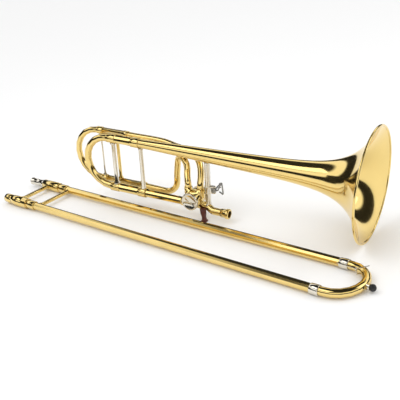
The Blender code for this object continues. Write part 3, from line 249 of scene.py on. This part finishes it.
def revolve(name, outline):
    """A closed surface round the bell's axis from a closed outline of (along, radius)."""
    work = bmesh.new()
    rings = []
    for step in range(BELL_STEPS):
        angle = math.tau * step / BELL_STEPS
        rings.append([work.verts.new((along, radius * math.cos(angle), radius * math.sin(angle)))
                      for along, radius in outline])
    for ring, following in zip(rings, rings[1:] + rings[:1]):
        for i in range(len(outline)):
            j = (i + 1) % len(outline)
            work.faces.new((ring[i], ring[j], following[j], following[i]))
    bmesh.ops.recalc_face_normals(work, faces=work.faces)
    mesh = bpy.data.meshes.new(name)
    work.to_mesh(mesh)
    work.free()
    mesh.transform(section_matrix())
    smooth(mesh)
    return mesh


def bell_radius(back, flare_length):
    """The bell's outer radius at a distance back from the rim's face: a cone and a flare that dies away."""
    edge = RIM_RADIUS - 2 * BEAD_RADIUS - EDGE_GAP
    cone_at_edge = BELL_TAIL_RADIUS + BELL_TAPER * (BELL_LENGTH - BEAD_RADIUS)
    gain = (edge - cone_at_edge) * math.exp(BEAD_RADIUS / flare_length)
    cone = BELL_TAIL_RADIUS + BELL_TAPER * (BELL_LENGTH - back)
    return cone + gain * math.exp(-back / flare_length)


def make_bell(looks):
    span = BELL_LENGTH - BEAD_RADIUS
    backs = [BEAD_RADIUS + span * (i / BELL_RINGS) ** RING_CROWDING for i in range(BELL_RINGS + 1)]
    outside = [(-back, bell_radius(back, looks.flare_length)) for back in backs]
    inside = [(along, radius - looks.bell_wall) for along, radius in reversed(outside)]
    finish_piece("bell", revolve("bell", outside + inside))


def make_bead():
    """The wired rim, a ring of round section."""
    middle = RIM_RADIUS - BEAD_RADIUS
    turns = [math.tau * i / BEAD_STEPS for i in range(BEAD_STEPS)]
    outline = [(-BEAD_RADIUS + BEAD_RADIUS * math.sin(a), middle + BEAD_RADIUS * math.cos(a)) for a in turns]
    finish_piece("bell_rim_bead", revolve("bell_rim_bead", outline))


# Stage

def stage_material(name, colour):
    material = bpy.data.materials.new(name)
    material.use_nodes = True
    shader = material.node_tree.nodes["Principled BSDF"]
    shader.inputs["Base Color"].default_value = (*colour, 1.0)
    shader.inputs["Roughness"].default_value = STAGE_ROUGHNESS
    return material


def stage_plane(name, size, place, towards, material):
    mesh = bpy.data.meshes.new(name)
    x, y = size[0] / 2, size[1] / 2
    mesh.from_pydata([(-x, -y, 0), (x, -y, 0), (x, y, 0), (-x, y, 0)], [], [(0, 1, 2, 3)])
    mesh.materials.append(material)
    plane = bpy.data.objects.new(name, mesh)
    plane.location = place
    plane.rotation_mode = "QUATERNION"
    plane.rotation_quaternion = Vector((0, 0, 1)).rotation_difference(Vector(towards))
    bpy.context.scene.collection.objects.link(plane)
    return plane


def make_dark_cards():
    """Dark panels beside the camera, seen only as dark stretches in the metal."""
    dark = stage_material("dark_card", CARD_COLOUR)
    for name, size, place, towards in CARDS:
        card = stage_plane(name, size, place, towards, dark)
        card.visible_camera = False
        card.visible_shadow = False


def area_light(name, place, size, power):
    """A rectangular light that faces the origin."""
    light = bpy.data.lights.new(name, "AREA")
    light.shape = "RECTANGLE"
    light.size, light.size_y = size
    light.energy = power
    lamp = bpy.data.objects.new(name, light)
    lamp.location = place
    lamp.rotation_mode = "QUATERNION"
    lamp.rotation_quaternion = (-Vector(place)).to_track_quat("-Z", "Y")
    bpy.context.scene.collection.objects.link(lamp)


def sky_bands(tree):
    """What the metal reflects: a dark horizon, a bright softbox band and a dark ceiling."""
    place = tree.nodes.new("ShaderNodeTexCoord")
    split = tree.nodes.new("ShaderNodeSeparateXYZ")
    ramp = tree.nodes.new("ShaderNodeValToRGB")
    tree.links.new(place.outputs["Generated"], split.inputs["Vector"])
    tree.links.new(split.outputs["Z"], ramp.inputs["Fac"])
    stops = ramp.color_ramp.elements
    for height, _ in SKY_BANDS[1:-1]:
        stops.new(height)
    for stop, (_, grey) in zip(stops, SKY_BANDS):
        stop.color = (grey, grey, grey, 1)
    return ramp.outputs["Color"]


def mixed(tree, factor, first, second):
    """A colour mix node; first and second are sockets or plain colours."""
    mix = tree.nodes.new("ShaderNodeMix")
    mix.data_type = "RGBA"
    slots = [socket for socket in mix.inputs if socket.type == "RGBA"]
    tree.links.new(factor, mix.inputs[0])
    for slot, value in zip(slots, (first, second)):
        if isinstance(value, bpy.types.NodeSocket):
            tree.links.new(value, slot)
        else:
            slot.default_value = (*value, 1)
    return next(socket for socket in mix.outputs if socket.type == "RGBA")


def make_world():
    """White to the camera, bright to matt surfaces and banded in reflections."""
    world = bpy.data.worlds.new("studio")
    world.use_nodes = True
    tree = world.node_tree
    path = tree.nodes.new("ShaderNodeLightPath")
    shiny = mixed(tree, path.outputs["Is Glossy Ray"], AMBIENT, sky_bands(tree))
    result = mixed(tree, path.outputs["Is Camera Ray"], shiny, (1, 1, 1))
    tree.links.new(result, tree.nodes["Background"].inputs["Color"])
    bpy.context.scene.world = world


def make_camera():
    """The photograph's view, turned by yaw, pitch and roll."""
    mouth = section_matrix().translation
    camera = bpy.data.objects.new("camera", bpy.data.cameras.new("camera"))
    camera.data.lens = CAMERA_LENS
    camera.data.sensor_width = CAMERA_SENSOR
    camera.data.clip_start = CAMERA_NEAR
    place = Vector((mouth.x + CAMERA_ASIDE, mouth.y + CAMERA_BACK, CAMERA_HEIGHT))
    forward = Vector((-math.sin(CAMERA_YAW) * math.cos(CAMERA_PITCH),
                      math.cos(CAMERA_YAW) * math.cos(CAMERA_PITCH), -math.sin(CAMERA_PITCH)))
    level = Vector((math.cos(CAMERA_YAW), math.sin(CAMERA_YAW), 0))
    upright = level.cross(forward)
    right = level * math.cos(CAMERA_ROLL) + upright * math.sin(CAMERA_ROLL)
    up = upright * math.cos(CAMERA_ROLL) - level * math.sin(CAMERA_ROLL)
    turn = Matrix((right, up, -forward)).transposed().to_4x4()
    camera.matrix_world = Matrix.Translation(place) @ turn
    bpy.context.scene.collection.objects.link(camera)
    bpy.context.scene.camera = camera


# Operators and the panel

class TROMBONE_OT_finishes(bpy.types.Operator):
    """Make the metals, the rubber and the leather."""

    bl_idname = "trombone.finishes"
    bl_label = "Make the finishes"

    def execute(self, context):
        group = tone_group()
        for maker in (lacquered_brass, nickel_silver, chrome, steel, black_rubber, dark_leather):
            FINISHES[maker.__name__] = maker(context.scene.trombone_looks, group)
        return {"FINISHED"}


class TROMBONE_OT_tubes(bpy.types.Operator):
    """Give every piece but the bell and its rim a smooth skin and its finish."""

    bl_idname = "trombone.tubes"
    bl_label = "Dress tubes, slides and valve"

    def execute(self, context):
        for node in sorted(FRAME["nodes"]):
            if node not in TURNED_NODES:
                dress_node(node)
        return {"FINISHED"}


class TROMBONE_OT_bell(bpy.types.Operator):
    """Make the bell's smooth flare and its wired rim."""

    bl_idname = "trombone.bell"
    bl_label = "Make the bell"

    def execute(self, context):
        make_bell(context.scene.trombone_looks)
        make_bead()
        return {"FINISHED"}


class TROMBONE_OT_stage(bpy.types.Operator):
    """Make the floor, the lights, the dark cards and the camera."""

    bl_idname = "trombone.stage"
    bl_label = "Set the stage"

    def execute(self, context):
        looks = context.scene.trombone_looks
        floor = stage_material("floor", looks.floor)
        stage_plane("floor", (FLOOR_SIDE, FLOOR_SIDE), (0, 0, 0), (0, 0, 1), floor)
        make_dark_cards()
        area_light("key", KEY_PLACE, KEY_SIZE, looks.key_power)
        area_light("fill", FILL_PLACE, FILL_SIZE, looks.fill_power)
        make_world()
        make_camera()
        context.scene.view_settings.view_transform = "Standard"
        return {"FINISHED"}


OPERATORS = (TROMBONE_OT_finishes, TROMBONE_OT_tubes, TROMBONE_OT_bell, TROMBONE_OT_stage)


class TROMBONE_PT_panel(bpy.types.Panel):
    """The trombone's sizes and colours, and the steps that make it."""

    bl_label = "Trombone"
    bl_space_type = "VIEW_3D"
    bl_region_type = "UI"
    bl_category = "Trombone"

    def draw(self, context):
        for name in TromboneLooks.__annotations__:
            self.layout.prop(context.scene.trombone_looks, name)
        for operator in OPERATORS:
            self.layout.operator(operator.bl_idname)


CLASSES = (TromboneLooks, *OPERATORS, TROMBONE_PT_panel)


def register():
    for item in CLASSES:
        bpy.utils.register_class(item)
    bpy.types.Scene.trombone_looks = bpy.props.PointerProperty(type=TromboneLooks)


def unregister():
    del bpy.types.Scene.trombone_looks
    for item in reversed(CLASSES):
        bpy.utils.unregister_class(item)


def main():
    register()
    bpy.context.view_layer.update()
    bpy.ops.trombone.finishes()
    bpy.ops.trombone.tubes()
    bpy.ops.trombone.bell()
    bpy.ops.trombone.stage()


if __name__ == "__main__":
    main()
